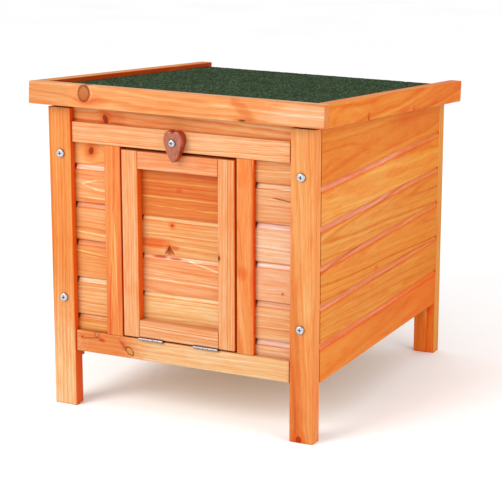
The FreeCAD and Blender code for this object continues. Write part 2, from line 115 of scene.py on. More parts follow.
class Graph:
    """Builds the nodes of one shader or group tree."""

    def __init__(self, tree):
        self.tree = tree

    def node(self, kind, output=0, inputs=None, **settings):
        made = self.tree.nodes.new(kind)
        for key, value in settings.items():
            setattr(made, key, value)
        for key, value in (inputs or {}).items():
            self.feed(made.inputs[key], value)
        return Value(self, made.outputs[output])

    def feed(self, socket, value):
        if isinstance(value, Value):
            self.tree.links.new(value.socket, socket)
        elif isinstance(value, tuple) and socket.type == "RGBA":
            socket.default_value = (*value[:3], 1.0)
        else:
            socket.default_value = value

    def math(self, operation, *values, clamp=False):
        inputs = dict(enumerate(values))
        return self.node("ShaderNodeMath", 0, inputs, operation=operation, use_clamp=clamp)

    def length(self, *values):
        total = values[0] * values[0]
        for value in values[1:]:
            total = total + value * value
        return self.math("SQRT", total)

    def smooth(self, value, low, high):
        inputs = {"Value": value, "From Min": low, "From Max": high}
        return self.node("ShaderNodeMapRange", 0, inputs, interpolation_type="SMOOTHSTEP")

    def combine(self, x, y, z):
        return self.node("ShaderNodeCombineXYZ", 0, {"X": x, "Y": y, "Z": z})

    def split(self, vector):
        made = self.node("ShaderNodeSeparateXYZ", 0, {"Vector": vector})
        outputs = made.socket.node.outputs
        return [Value(self, outputs[number]) for number in range(3)]

    def noise(self, place, scale=1.0, detail=2.0, roughness=0.5):
        inputs = {"Vector": place, "Scale": scale, "Detail": detail, "Roughness": roughness}
        return self.node("ShaderNodeTexNoise", 0, inputs, noise_dimensions="3D")

    def noise_line(self, place, detail=2.0, roughness=0.5):
        inputs = {"W": place, "Scale": 1.0, "Detail": detail, "Roughness": roughness}
        return self.node("ShaderNodeTexNoise", 0, inputs, noise_dimensions="1D")

    def ramp(self, value, stops):
        made = self.node("ShaderNodeValToRGB", 0, {"Fac": value})
        ramp = made.socket.node.color_ramp
        while len(ramp.elements) < len(stops):
            ramp.elements.new(0.5)
        for element, (place, colour) in zip(ramp.elements, stops):
            element.position = place
            element.color = (*colour, 1.0)
        return made

    def mix(self, share, first, second, blend="MIX"):
        made = self.tree.nodes.new("ShaderNodeMix")
        made.data_type = "RGBA"
        made.blend_type = blend
        for socket, value in zip((made.inputs[0], made.inputs[6], made.inputs[7]), (share, first, second)):
            self.feed(socket, value)
        return Value(self, made.outputs[2])


def new_material(name):
    """An empty material with its output, and the graph to fill it."""
    material = bpy.data.materials.new(name)
    material.use_nodes = True
    material.node_tree.nodes.clear()
    return material, Graph(material.node_tree)


def finish_material(graph, colour, roughness, height=None, bump=(0.3, 0.0003), **constants):
    """The shader of a material: constants such as specular stand on the shader's own sockets."""
    inputs = {"Base Color": colour, "Roughness": roughness}
    if height is not None:
        bump_inputs = {"Height": height, "Strength": bump[0], "Distance": bump[1]}
        inputs["Normal"] = graph.node("ShaderNodeBump", 0, bump_inputs)
    shader = graph.node("ShaderNodeBsdfPrincipled", 0, inputs)
    for key, value in constants.items():
        graph.feed(shader.socket.node.inputs[key.replace("_", " ")], value)
    output = graph.tree.nodes.new("ShaderNodeOutputMaterial")
    graph.tree.links.new(shader.socket, output.inputs["Surface"])


def make_pine_group():
    """Rings of a trunk cut by a board, in millimetres, with its fibres, pores and patches."""
    tree = bpy.data.node_groups.new("pine_rings", "ShaderNodeTree")
    interface = tree.interface
    interface.new_socket("Place", in_out="INPUT", socket_type="NodeSocketVector")
    for name in ("Pith V", "Pith W", "Taper", "Spacing", "Wander", "Seed"):
        interface.new_socket(name, in_out="INPUT", socket_type="NodeSocketFloat")
    outputs = ("Band", "Fine", "Late", "Pale", "Fibre", "Patch", "Slow", "Pore")
    for name in outputs:
        interface.new_socket(name, in_out="OUTPUT", socket_type="NodeSocketFloat")
    graph = Graph(tree)
    source = tree.nodes.new("NodeGroupInput")
    given = {socket.name: Value(graph, socket) for socket in source.outputs if socket.name}
    seed = given["Seed"]
    u, v, w = graph.split(given["Place"])

    def field(across, along, detail=2.0, roughness=0.5, offset=0.0):
        place = graph.combine(u / along + seed + offset, v / across, w / across + seed)
        return graph.noise(place, 1.0, detail, roughness)

    sway = field(34.0, 190.0, 1.0) - 0.5
    ripple = field(11.0, 52.0, 1.0, offset=7.0) - 0.5
    wander = given["Wander"] * (sway + 0.22 * ripple)
    reach = graph.length(v - given["Pith V"], w - given["Pith W"])
    radius = (reach + u * given["Taper"] + wander) / given["Spacing"] + seed * 17.0
    ring = graph.math("FRACT", radius * 0.5)
    which = graph.math("FLOOR", radius * 0.5)
    strength = graph.node("ShaderNodeTexWhiteNoise", 0, {"W": which}, noise_dimensions="1D")
    late = graph.smooth(ring, 0.50, 0.86) * (1.0 - graph.smooth(ring, 0.88, 1.0)) * strength
    pale = graph.smooth(ring, 0.0, 0.14) * (1.0 - graph.smooth(ring, 0.16, 0.42)) * (1.0 - strength)
    made = {
        "Band": graph.noise_line(radius * 0.42, 2.0, 0.6),
        "Fine": graph.noise_line(radius * 1.25, 2.0, 0.6),
        "Late": late,
        "Pale": pale,
        "Fibre": field(1.5, 30.0, 2.0, 0.65, 3.0),
        "Patch": field(13.0, 46.0, 2.0, 0.5, 5.0),
        "Slow": field(40.0, 150.0, 1.0, 0.5, 11.0),
        "Pore": field(0.5, 6.0, 1.0, 0.5, 13.0),
    }
    sink = tree.nodes.new("NodeGroupOutput")
    for name, value in made.items():
        tree.links.new(value.socket, sink.inputs[name])
    return tree


pine_group = make_pine_group()


def knot(u, v, across=4.0, along=None, core=(0.28, 0.032, 0.001), rim=None, halo=0.7, push=0.85,
         angle=0.0, only=None):
    """A knot at (u, v) in the frame's millimetres. Its radii run along and across the grain."""
    return {"kind": "knot", "u": u, "v": v, "ru": along or across, "rv": across, "core": core, "rim": rim,
            "halo": halo, "push": push, "angle": angle, "only": only}


def patch(u, v, along, across, tint, share=1.0, soft=0.6, angle=0.0, only=None):
    """A soft-edged area whose colour is multiplied by tint. only limits it to faces that look one way."""
    return {"kind": "patch", "u": u, "v": v, "ru": along, "rv": across, "tint": tint, "share": share,
            "soft": soft, "angle": angle, "only": only}


def streak(u0, v0, u1, v1, width, tint, share=1.0, wave=0.6):
    """A line from one point to another whose colour is multiplied by tint."""
    return {"kind": "streak", "ends": (u0, v0, u1, v1), "width": width, "tint": tint, "share": share,
            "wave": wave}


def limited(graph, normal, spot, share):
    """The share of a spot, kept to the faces that look the way its only says."""
    if not spot.get("only"):
        return share
    axis, sign = spot["only"]
    return share * graph.smooth(normal[AXES[axis]] * sign, 0.6, 0.9)


def spot_distance(graph, spot, u, v, start, ragged):
    """The distance from a knot or patch as a share of its radii, and the way across its grain."""
    du = u - (spot["u"] - start[0])
    dv = v - (spot["v"] - start[1])
    if spot["angle"]:
        cos, sin = math.cos(spot["angle"]), math.sin(spot["angle"])
        du, dv = du * cos + dv * sin, dv * cos - du * sin
    rough = RIMMED_KNOT_RAGGED if spot.get("rim") else KNOT_RAGGED
    return graph.length(du / spot["ru"], dv / spot["rv"]) + ragged * rough, dv


def streak_mask(graph, spot, u, v, start, seed):
    """How strongly a streak marks each point: full in its middle, tapered to its ends."""
    u0, v0, u1, v1 = spot["ends"]
    u0, u1 = u0 - start[0], u1 - start[0]
    v0, v1 = v0 - start[1], v1 - start[1]
    reach = math.hypot(u1 - u0, v1 - v0)
    cos, sin = (u1 - u0) / reach, (v1 - v0) / reach
    along = (u - u0) * cos + (v - v0) * sin
    slow = graph.noise(graph.combine(u / 14.0, seed, spot["width"]), 1.0, 2.0) - 0.5
    across = (v - v0) * cos - (u - u0) * sin + slow * (spot["wave"] * 4.0)
    ends = graph.smooth(along, 0.0, reach * 0.25) * (1.0 - graph.smooth(along, reach * 0.75, reach))
    distance = graph.math("ABSOLUTE", across) / (ends * (spot["width"] * 0.7) + spot["width"] * 0.3)
    return (1.0 - graph.smooth(distance, 0.3, 1.0)) * graph.smooth(ends, 0.0, 0.3)


def place_spots(graph, spots, u, v, start, ragged, seed):
    """Each spot with its mask, and v bent so that the rings flow round the knots."""
    bent = v
    found = []
    for spot in spots:
        if spot["kind"] == "streak":
            found.append((spot, streak_mask(graph, spot, u, v, start, seed)))
            continue
        distance, across = spot_distance(graph, spot, u, v, start, ragged)
        if spot["kind"] == "knot":
            spread = (distance * distance) * 0.25 + 1.0
            bent = bent - across * spot["push"] / (spread * spread)
        found.append((spot, distance))
    return found, bent


def pine_rings(graph, place, pith, taper, spacing, wander, seed):
    """The outputs of the ring group at a place in the board."""
    group = graph.tree.nodes.new("ShaderNodeGroup")
    group.node_tree = pine_group
    given = {"Place": place, "Pith V": pith[0], "Pith W": pith[1], "Taper": taper, "Spacing": spacing,
             "Wander": wander, "Seed": seed}
    for key, value in given.items():
        graph.feed(group.inputs[key], value)
    return {socket.name: Value(graph, socket) for socket in group.outputs}


def paint_knot(graph, colour, spot, mask, normal, ragged, seed):
    """A knot's halo and heart, and the dark rim of a knot that has one."""
    inner = graph.noise_line(mask * 3.0 + ragged * 1.2 + seed, 2.0)
    if spot["rim"]:
        pale_core = tuple(c * 1.35 for c in spot["core"])
        spread = inner
    else:
        pale_core = tuple(c * 2.4 for c in spot["core"])
        spread = graph.smooth(mask, 0.2, 1.1) * 0.8 + (inner - 0.5) * 0.5
    heart = graph.mix(graph.smooth(spread, 0.3, 0.7), spot["core"], pale_core)
    near = limited(graph, normal, spot, 1.0 - graph.smooth(mask, 0.8, 3.0))
    colour = graph.mix(near * spot["halo"], colour, HALO_TINT, "MULTIPLY")
    body = limited(graph, normal, spot, 1.0 - graph.smooth(mask, 0.62, 1.25))
    colour = graph.mix(body, colour, heart)
    if spot["rim"]:
        edge = graph.smooth(mask, 0.70, 0.92) * (1.0 - graph.smooth(mask, 1.0, 1.25))
        colour = graph.mix(edge * (0.75 + ragged), colour, spot["rim"])
    return colour


def paint_spots(graph, colour, found, normal, ragged, seed):
    """Knots, patches and streaks, in the order in which they are listed."""
    for spot, mask in found:
        if spot["kind"] == "knot":
            colour = paint_knot(graph, colour, spot, mask, normal, ragged, seed)
        elif spot["kind"] == "patch":
            soft = spot["soft"]
            share = (1.0 - graph.smooth(mask, 1.0 - soft, 1.0 + soft * 0.4)) * spot["share"]
            colour = graph.mix(limited(graph, normal, spot, share), colour, spot["tint"], "MULTIPLY")
        else:
            colour = graph.mix(mask * spot["share"], colour, spot["tint"], "MULTIPLY")
    return colour


def paint_lap(graph, colour, u, v, edge, ragged, bevel, arris, notch):
    """The bevel along a lapped plank's top, paler and with a painted highlight, a darker red line under it, and
    painted shade in the gap at its end by the neighbour.
    """
    slope = graph.smooth(v, edge - 0.3, edge + 0.3)
    under_bevel_line = graph.smooth(v, edge - arris[0], edge - 0.5) * (1.0 - slope)
    colour = graph.mix(under_bevel_line * (0.75 + ragged), colour, arris[1], "MULTIPLY")
    # Paler cut wood and a painted highlight on the upward bevel
    colour = graph.mix(slope, colour, bevel, "MULTIPLY")
    if notch is not None:
        # Painted shade in the gap at the bevel's end by the neighbouring board
        gap = graph.math("ABSOLUTE", u - notch)
        dark = (1.0 - graph.smooth(gap, 0.9, 2.4)) * graph.smooth(v, edge - 2.0, edge)
        colour = graph.mix(dark * 0.9, colour, NOTCH_SHADE_TINT, "MULTIPLY")
    return colour


def paint_faces(graph, colour, normal, grain, end, flanks):
    """End grain, and the tints of the faces that look the ways listed in flanks, which paint light and shade by
    the way a face looks.
    """
    ends = graph.smooth(graph.math("ABSOLUTE", normal[AXES[grain]]), 0.75, 0.95)
    colour = graph.mix(ends, colour, end, "MULTIPLY")
    # Painted light and shade: each listed facing gets its own tint
    for axis, sign, flank in flanks:
        colour = graph.mix(graph.smooth(normal[AXES[axis]] * sign, 0.6, 0.9), colour, flank, "MULTIPLY")
    return colour


def wood(name, grain="x", face="z", pith=(30.0, 60.0), taper=0.02, spacing=2.2, wander=9.0, contrast=1.0,
         late=0.35, pale=0.25, patches=0.5, tint=(1.0, 1.0, 1.0), gloss=0.15, seed=None, spots=(), flanks=(),
         end=END_TINT, lap=None, bevel=BEVEL_PALE_HIGHLIGHT_TINT, arris=(2.8, ARRIS_TINT), fade=None, notch=None, box=None):
    """One board's pine. grain and face are the axes along the grain and across the seen face."""
    low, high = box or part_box(name)
    middle = (low + high) * 0.5 / MM
    start = (middle[AXES[grain]], middle[AXES[face]])
    chooser = random.Random(name)
    if seed is None:
        seed = chooser.uniform(2.0, 60.0)
    depth = ({"x", "y", "z"} - {grain, face}).pop()
    material, graph = new_material("pine_" + name)
    place = graph.split(graph.node("ShaderNodeTexCoord", "Object"))
    u, v, w = (place[AXES[axis]] * (1.0 / MM) - middle[AXES[axis]] for axis in (grain, face, depth))
    ragged = graph.noise(graph.combine(u / 7.0 + seed, v / 5.0, w / 5.0), 1.0, 2.0) - 0.5
    found, bent = place_spots(graph, spots, u, v, start, ragged, seed)
    rings = pine_rings(graph, graph.combine(u, bent, w), pith, taper, spacing, wander, seed)
    tone = (
        0.5
        + (rings["Band"] - 0.5) * (0.75 * contrast)
        + (rings["Fine"] - 0.5) * (0.95 * contrast)
        + (rings["Slow"] - 0.5) * (0.7 * contrast)
        + (rings["Fibre"] - 0.5) * 0.75
        + rings["Pale"] * pale
        - rings["Late"] * late
    )
    colour = graph.ramp(tone, ((0.0, PINE_DARK), (0.5, PINE_MID), (1.0, PINE_LIGHT)))
    colour = graph.mix(graph.smooth(rings["Patch"], 0.50, 0.70) * patches, colour, PINE_ORANGE, "MULTIPLY")
    normal = graph.split(graph.node("ShaderNodeTexCoord", "Normal"))
    colour = paint_spots(graph, colour, found, normal, ragged, seed)
    if fade:
        colour = graph.mix(graph.smooth(u, FADE_FROM, FADE_TO), colour, fade, "MULTIPLY")
    if lap:
        edge = (high.z - low.z) * 0.5 / MM - lap[0] - lap[1]
        beside = None if notch is None else notch - start[0]
        colour = paint_lap(graph, colour, u, v, edge, ragged, bevel, arris, beside)
    colour = paint_faces(graph, colour, normal, grain, end, flanks)
    # Painted shade: wood near other surfaces is darkened and reddened by ambient occlusion
    near = graph.node("ShaderNodeAmbientOcclusion", "AO", {"Distance": SHADE_REACH}, samples=6)
    colour = graph.mix(1.0 - graph.smooth(near, 0.15, 0.9), colour, RECESS_SHADE_TINT, "MULTIPLY")
    colour = graph.mix(1.0, colour, tint, "MULTIPLY")
    height = rings["Fibre"] * 0.5 + rings["Pore"] * 0.35 - rings["Late"] * 0.5
    roughness = 0.36 + rings["Fibre"] * 0.16 + rings["Late"] * 0.08
    finish_material(graph, colour, roughness, height, (0.22, 0.0004), Specular_IOR_Level=gloss)
    return material


def dress(name, material, width=0.6, clamp=False):
    """Gives a CAD node its material and soft edges. The mesh itself stays as packed."""
    piece = nodes[name]
    piece.data.materials.clear()
    piece.data.materials.append(material)
    soften(piece, width, clamp)


def make_header(material, width):
    """The header rail without its screw hole, which the latch always covers."""
    low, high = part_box("front_header_rail")
    build = bmesh.new()
    bmesh.ops.create_cube(build, size=1.0)
    for vertex in build.verts:
        vertex.co = [low[axis] if vertex.co[axis] < 0.0 else high[axis] for axis in range(3)]
    mesh = bpy.data.meshes.new("header_rail")
    build.to_mesh(mesh)
    build.free()
    mesh.materials.append(material)
    header = bpy.data.objects.new("header_rail", mesh)
    scene.collection.objects.link(header)
    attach(header, "hutch")
    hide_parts("front_header_rail")
    soften(header, width)


def soften(piece, width, clamp=False):
    """Joins the faces of a mesh, merges flat triangles and rounds its edges by width millimetres."""
    normals = piece.data.attributes.get("custom_normal")
    if normals:
        piece.data.attributes.remove(normals)
    piece.data.shade_smooth()
    weld = piece.modifiers.new("weld", "WELD")
    weld.merge_threshold = 0.00001
    flat = piece.modifiers.new("flat", "DECIMATE")
    flat.decimate_type = "DISSOLVE"
    flat.angle_limit = math.radians(1.0)
    bevel = piece.modifiers.new("edges", "BEVEL")
    bevel.width = width * MM
    bevel.segments = 2
    bevel.limit_method = "ANGLE"
    bevel.angle_limit = math.radians(22.0)
    bevel.use_clamp_overlap = clamp
    bevel.harden_normals = True


def split_planks(node, body):
    """Copies a node of several planks as one object for each plank, from the lowest up."""
    source = bmesh.new()
    source.from_mesh(nodes[node].data)
    bmesh.ops.remove_doubles(source, verts=source.verts, dist=0.00001)
    source.verts.ensure_lookup_table()
    unseen = set(source.verts)
    groups = []
    for first in source.verts:
        if first not in unseen:
            continue
        unseen.remove(first)
        queue = [first]
        group = []
        while queue:
            vertex = queue.pop()
            group.append(vertex)
            for edge in vertex.link_edges:
                other = edge.other_vert(vertex)
                if other in unseen:
                    unseen.remove(other)
                    queue.append(other)
        groups.append(group)
    groups.sort(key=lambda group: sum(vertex.co.z for vertex in group) / len(group))
    planks = []
    for number, group in enumerate(groups, 1):
        members = set(group)
        places = {vertex: index for index, vertex in enumerate(group)}
        faces = [[places[v] for v in face.verts] for face in source.faces if face.verts[0] in members]
        mesh = bpy.data.meshes.new(f"{node}_{number}")
        mesh.from_pydata([vertex.co[:] for vertex in group], [], faces)
        plank = bpy.data.objects.new(f"{node}_{number}", mesh)
        scene.collection.objects.link(plank)
        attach(plank, body)
        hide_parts(node)
        planks.append(plank)
    source.free()
    return planks


def mesh_box(piece):
    """The lowest and highest corners of a piece's mesh."""
    corners = [vertex.co for vertex in piece.data.vertices]
    low = Vector([min(corner[axis] for corner in corners) for axis in range(3)])
    high = Vector([max(corner[axis] for corner in corners) for axis in range(3)])
    return low, high


# Boards: what is seen of each one's grain, knots and colour. Places are the frame's millimetres.
RED = (0.92, 0.50, 0.26)
CREAM = (1.08, 1.32, 1.55)
SHADE = (0.90, 0.66, 0.45)
CRACK = (0.45, 0.18, 0.10)
LINE = (1.12, 1.85, 2.4)
FAINT_LINE = (1.05, 1.55, 1.9)

LEGS = dict(grain="z", face="x", width=0.8)
RAILS = dict(grain="x", face="z", width=0.8)
UPRIGHTS = dict(grain="z", face="x", width=0.7)
SIDES = dict(grain="y", face="z", width=0.25, clamp=True, gloss=0.03, tint=(0.94, 0.68, 0.28))
WALL = dict(
    SIDES, lap=(4.0, 7.0), bevel=(1.06, 1.06, 3.4), arris=(5.5, (1.0, 0.38, 0.10)),
    fade=(0.98, 0.84, 0.34), contrast=0.38, late=0.2, pale=0.12, patches=0.6)
ROWS = dict(grain="x", face="z", width=0.25, clamp=True)

BOARDS = {
    "lid_front_board": dict(
        RAILS, width=1.3, pith=(-26.0, 34.0), taper=0.02, spacing=2.4, wander=8.0, contrast=0.6, late=0.3,
        tint=(0.92, 0.80, 0.72), end=(1.0, 0.62, 0.15),
        spots=(
            knot(-126.6, 430.4, 10.4, 8.2, core=(0.31, 0.105, 0.022), rim=(0.15, 0.028, 0.004), halo=0.3),
            patch(-185.0, 428.0, 50.0, 22.0, (0.86, 0.80, 0.72), 0.9),
            streak(-119.0, 441.0, -114.5, 430.0, 2.0, CREAM, 0.9, 0.2),
            streak(-114.5, 431.0, -120.0, 419.0, 2.0, CREAM, 0.9, 0.2),
            patch(-112.0, 423.0, 24.0, 9.0, RED, 0.6),
            knot(100.0, 413.6, 1.5, 5.6, core=(0.14, 0.03, 0.003), halo=0.9),
            patch(100.0, 427.0, 26.0, 8.0, SHADE, 0.9, angle=-0.7),
            patch(70.0, 432.0, 16.0, 5.0, CREAM, 0.8),
            patch(178.0, 424.0, 56.0, 18.0, (1.08, 1.36, 2.1), 0.95),
        )),
    "lid_left_board": dict(
        SIDES, width=1.2, clamp=False, pith=(8.0, 25.0), taper=0.03, spacing=3.0,
        # Painted shade: the lid board's inner side is tinted dark red-brown
        flanks=(("x", 1.0, (0.75, 0.26, 0.10)),)),
    "lid_right_board": dict(
        SIDES, width=1.2, clamp=False, pith=(10.0, 24.0), taper=0.035, spacing=5.4, wander=16.0,
        contrast=0.42, patches=0.8, late=0.2, fade=(0.98, 0.80, 0.50), tint=(1.03, 0.64, 0.18),
        # Painted shade: the lid board's inner side is tinted dark red-brown
        flanks=(("x", -1.0, (0.75, 0.26, 0.10)),),
        spots=(
            knot(-102.4, 401.5, 4.5, 1.8, core=(0.20, 0.030, 0.001), halo=0.95, only=("x", 1.0)),
            knot(55.8, 386.0, 4.2, 1.5, core=(0.20, 0.030, 0.001), halo=0.95, only=("x", 1.0)),
            patch(18.0, 392.0, 24.0, 8.0, RED, 0.6),
            patch(-228.0, 412.0, 12.0, 20.0, CREAM, 0.9),
        )),
    "front_top_board": dict(
        # Painted light: the raised tint and the cream patch at the right lift the shadow the lid casts on this
        # board
        ROWS, pith=(-30.0, 45.0), spacing=2.0, contrast=0.6, tint=(1.14, 0.96, 0.88),
        spots=(
            knot(-110.5, 394.0, 8.0, 4.6, core=(0.21, 0.030, 0.001), halo=0.85, angle=0.35),
            patch(-96.0, 398.0, 20.0, 10.0, SHADE, 0.8),
            patch(90.0, 392.0, 80.0, 14.0, CREAM, 0.6),
        )),
    "front_header_rail": dict(
        RAILS, pith=(70.0, 45.0), taper=0.012, spacing=2.3, wander=6.0, contrast=0.6, late=0.2,
        tint=(0.95, 0.93, 1.08),
        spots=(
            patch(90.0, 375.0, 90.0, 18.0, CREAM, 0.5),
            # Painted shade: a dark line at the rail's right end, where the gap to the leg shows
            patch(158.0, 375.0, 2.5, 20.0, (0.6, 0.3, 0.2), 0.9),
        )),
    "front_bottom_rail": dict(
        RAILS, pith=(60.0, 40.0), taper=0.01, spacing=2.3, wander=6.0, contrast=0.5, late=0.2,
        tint=(0.95, 1.18, 1.5),
        spots=(
            patch(-114.0, 92.0, 60.0, 34.0, (0.88, 0.43, 0.20), 0.95),
            patch(-84.0, 92.0, 13.0, 3.2, (0.72, 0.42, 0.26), 0.95, angle=-0.85),
            knot(-149.0, 97.3, 2.4, 2.4),
            knot(-126.1, 103.5, 4.2, 3.0, core=(0.36, 0.10, 0.018), rim=(0.12, 0.018, 0.002), halo=0.2),
            patch(-118.8, 96.6, 7.0, 3.4, (0.84, 0.24, 0.10), 0.95, angle=-0.3),
            knot(-76.0, 87.2, 4.2, 7.0, core=(0.38, 0.12, 0.02), rim=(0.09, 0.014, 0.002), halo=0.2,
                 angle=-0.75),
            streak(-149.0, 95.0, -122.0, 99.0, 1.3, CRACK, 0.7),
        )),
    "front_leg_left": dict(
        LEGS, pith=(48.0, 30.0), taper=0.012, spacing=2.0, wander=7.0, contrast=0.55, late=0.25,
        tint=(0.89, 0.63, 0.37),
        flanks=(("x", 1.0, FLANK_SHADE_BOUNCE_TINT),),
        spots=(
            patch(290.0, -190.0, 190.0, 7.0, SHADE, 0.5),
            patch(10.0, -174.0, 150.0, 40.0, (1.12, 2.05, 4.6), 0.95, 0.8, only=("y", -1.0)),
        )),
    "front_leg_right": dict(
        LEGS, pith=(-30.0, 20.0), taper=0.03, spacing=2.6, wander=8.0, contrast=0.34, late=0.2, pale=0.12,
        # Painted shade and light: the inner side gets the flank shade tint, the outer side a lighter orange tint
        tint=(0.94, 0.84, 0.70), flanks=(("x", -1.0, FLANK_SHADE_BOUNCE_TINT), ("x", 1.0, (1.2, 0.98, 0.62))),
        spots=(
            patch(90.0, 163.0, 190.0, 11.0, SHADE, 0.95),
            patch(60.0, 176.0, 90.0, 22.0, (0.98, 0.76, 0.56), 0.85),
            patch(110.0, 183.0, 150.0, 6.0, CREAM, 0.35),
            knot(4.4, 171.2, 5.9, 6.5, halo=0.6),
            patch(34.0, 168.0, 22.0, 14.0, SHADE, 0.5),
        )),
    # Painted shade: the back leg's darker, redder tint and its front and outer face tints stand in for the shade
    # under the hutch
    "back_leg_right": dict(
        LEGS, pith=(10.0, 22.0), spacing=2.8, contrast=0.5, gloss=0.05, tint=(1.0, 0.66, 0.32),
        flanks=(("y", -1.0, (1.45, 1.0, 0.63)), ("x", 1.0, (0.99, 1.25, 0.94))),
        spots=(
            patch(60.0, 165.0, 120.0, 12.0, (0.86, 0.86, 0.95), 1.0, 0.2),
            streak(0.0, 178.0, 80.0, 178.0, 1.6, CREAM, 0.9, 0.3),
        )),
    # Painted shade: the same darker, redder tint as the right back leg
    "back_leg_left": dict(LEGS, pith=(-12.0, 22.0), spacing=2.6, contrast=0.6, tint=(1.0, 0.66, 0.32)),
    "front_batten_left": dict(
        UPRIGHTS, pith=(20.0, 24.0), taper=0.02, spacing=2.4, wander=5.0, contrast=0.4,
        tint=(0.92, 0.60, 0.40), flanks=(("x", 1.0, FLANK_SHADE_BOUNCE_TINT),),
        spots=(
            patch(200.0, -98.5, 88.0, 4.6, CREAM, 0.5),
            streak(287.0, -97.8, 90.0, -92.0, 1.5, FAINT_LINE, 0.9, 0.15),
            streak(287.0, -97.8, 120.0, -104.0, 1.5, FAINT_LINE, 0.9, 0.15),
            patch(160.0, -90.0, 90.0, 5.0, RED, 0.5),
            patch(120.0, -106.0, 60.0, 5.0, RED, 0.45),
        )),
    "front_batten_right": dict(
        UPRIGHTS, pith=(-14.0, 22.0), taper=0.03, spacing=3.2, wander=12.0, contrast=0.45, patches=0.9,
        tint=(0.94, 0.69, 0.50), flanks=(("x", 1.0, FLANK_SHADE_BOUNCE_TINT),),
        spots=(patch(213.0, 90.0, 11.0, 7.5, RED, 0.8), patch(226.0, 104.0, 130.0, 3.0, RED, 0.6))),
    "door_stile_left": dict(
        UPRIGHTS, pith=(-70.0, 30.0), taper=0.008, spacing=1.9, wander=4.0, contrast=0.8, late=0.3,
        tint=(0.93, 0.87, 0.95),
        flanks=(("x", 1.0, FLANK_SHADE_BOUNCE_TINT),)),
    "door_stile_right": dict(
        UPRIGHTS, pith=(80.0, 26.0), taper=0.008, spacing=1.9, wander=4.0, contrast=0.8, late=0.3,
        tint=(0.93, 0.86, 0.92),
        flanks=(("x", -1.0, FLANK_SHADE_BOUNCE_TINT), ("x", 1.0, FLANK_SHADE_BOUNCE_TINT)),
        spots=(knot(229.3, 56.2, 2.6, 3.6, core=(0.05, 0.015, 0.006)),)),
    "door_top_rail": dict(
        RAILS, width=0.6, pith=(50.0, 30.0), taper=0.02, spacing=2.1, wander=6.0, contrast=0.6, late=0.2,
        tint=(0.93, 0.74, 0.80),
        spots=(patch(-2.0, 337.0, 70.0, 3.4, CREAM, 0.6),)),
    "door_bottom_rail": dict(
        RAILS, width=0.6, pith=(-60.0, 30.0), taper=0.01, spacing=1.9, wander=5.0, contrast=0.7, late=0.3,
        tint=(0.93, 0.95, 1.18)),
    "side_right_plank_6": dict(
        WALL, lap=None, pith=(-20.0, 24.0), taper=0.03, spacing=4.6, wander=14.0, tint=(1.02, 0.68, 0.21),
        spots=(
            patch(-53.6, 368.7, 5.0, 3.0, CREAM, 0.5),
            patch(91.0, 374.0, 80.0, 12.0, (0.97, 0.62, 0.30), 0.7),
            patch(-150.0, 350.0, 80.0, 14.0, (1.0, 0.85, 0.7), 0.6),
        )),
    "side_right_plank_5": dict(
        WALL, pith=(14.0, 26.0), taper=-0.03, spacing=5.0, wander=12.0, tint=(1.10, 0.95, 0.50)),
    "side_right_plank_4": dict(
        WALL, pith=(2.0, 10.0), taper=-0.06, spacing=4.6, wander=8.0, contrast=0.36, late=0.35,
        tint=(1.02, 0.83, 0.40)),
    "side_right_plank_3": dict(
        WALL, pith=(6.0, 11.0), taper=-0.06, spacing=4.6, wander=8.0, contrast=0.36, late=0.35,
        tint=(1.03, 0.78, 0.31),
        spots=(knot(-22.4, 185.3, 2.0, 3.4, core=(0.40, 0.10, 0.012), halo=0.9),)),
    "side_right_plank_2": dict(
        WALL, pith=(-30.0, 22.0), taper=0.03, spacing=3.6, wander=9.0, contrast=0.45, late=0.3,
        tint=(1.01, 0.77, 0.31)),
    "side_right_plank_1": dict(
        WALL, pith=(0.0, 40.0), taper=0.02, spacing=4.6, wander=8.0, contrast=0.4, late=0.2,
        fade=(1.0, 0.68, 0.06), tint=(1.06, 0.68, 0.24)),
}

LAPPED = dict(lap=(4.0, 7.0))
LEFT_PLANKS = {
    6: dict(
        pith=(5.0, 20.0), spacing=2.4, contrast=0.6, tint=(1.0, 0.98, 0.94),
        spots=(
            knot(-133.2, 350.4, 7.0, 4.6, core=(0.19, 0.030, 0.001), halo=0.95, angle=-0.3),
            patch(-132.0, 351.0, 22.0, 14.0, SHADE, 0.75),
        )),
    5: dict(
        LAPPED, pith=(-30.0, 40.0), taper=0.02, spacing=3.2, wander=5.0, contrast=0.6,
        tint=(0.96, 0.80, 0.78), bevel=(1.45, 2.6, 6.6),
        spots=(
            streak(-150.0, 305.4, -124.0, 312.4, 1.5, FAINT_LINE, 1.0, 0.1),
            streak(-132.0, 311.6, -100.0, 313.2, 1.5, FAINT_LINE, 1.0, 0.1),
            streak(-150.0, 305.4, -124.0, 299.0, 1.5, FAINT_LINE, 1.0, 0.1),
            streak(-132.0, 300.0, -100.0, 296.6, 1.5, FAINT_LINE, 1.0, 0.1),
            streak(-168.0, 309.0, -142.0, 305.4, 1.4, FAINT_LINE, 0.6, 0.1),
            streak(-172.0, 288.8, -92.0, 286.4, 1.3, LINE, 1.0, 0.1),
        )),
    4: dict(LAPPED, pith=(-38.0, 40.0), spacing=2.6, contrast=0.5, late=0.25, tint=(0.95, 0.88, 0.88),
            spots=(streak(-172.0, 242.0, -92.0, 236.0, 1.4, LINE, 0.9, 0.1),)),
    3: dict(
        LAPPED, pith=(60.0, 40.0), taper=0.0, spacing=2.2, contrast=0.6, tint=(0.92, 0.74, 0.58),
        spots=(streak(-172.0, 216.0, -92.0, 208.0, 1.3, LINE, 0.9, 0.1),)),
    2: dict(
        LAPPED, pith=(50.0, 40.0), taper=0.0, spacing=2.2, contrast=0.7, tint=(0.95, 0.95, 0.97),
        bevel=(1.06, 1.5, 2.3)),
    1: dict(LAPPED, pith=(50.0, 40.0), taper=0.0, spacing=2.2, contrast=0.7, tint=(0.93, 0.96, 0.80)),
}
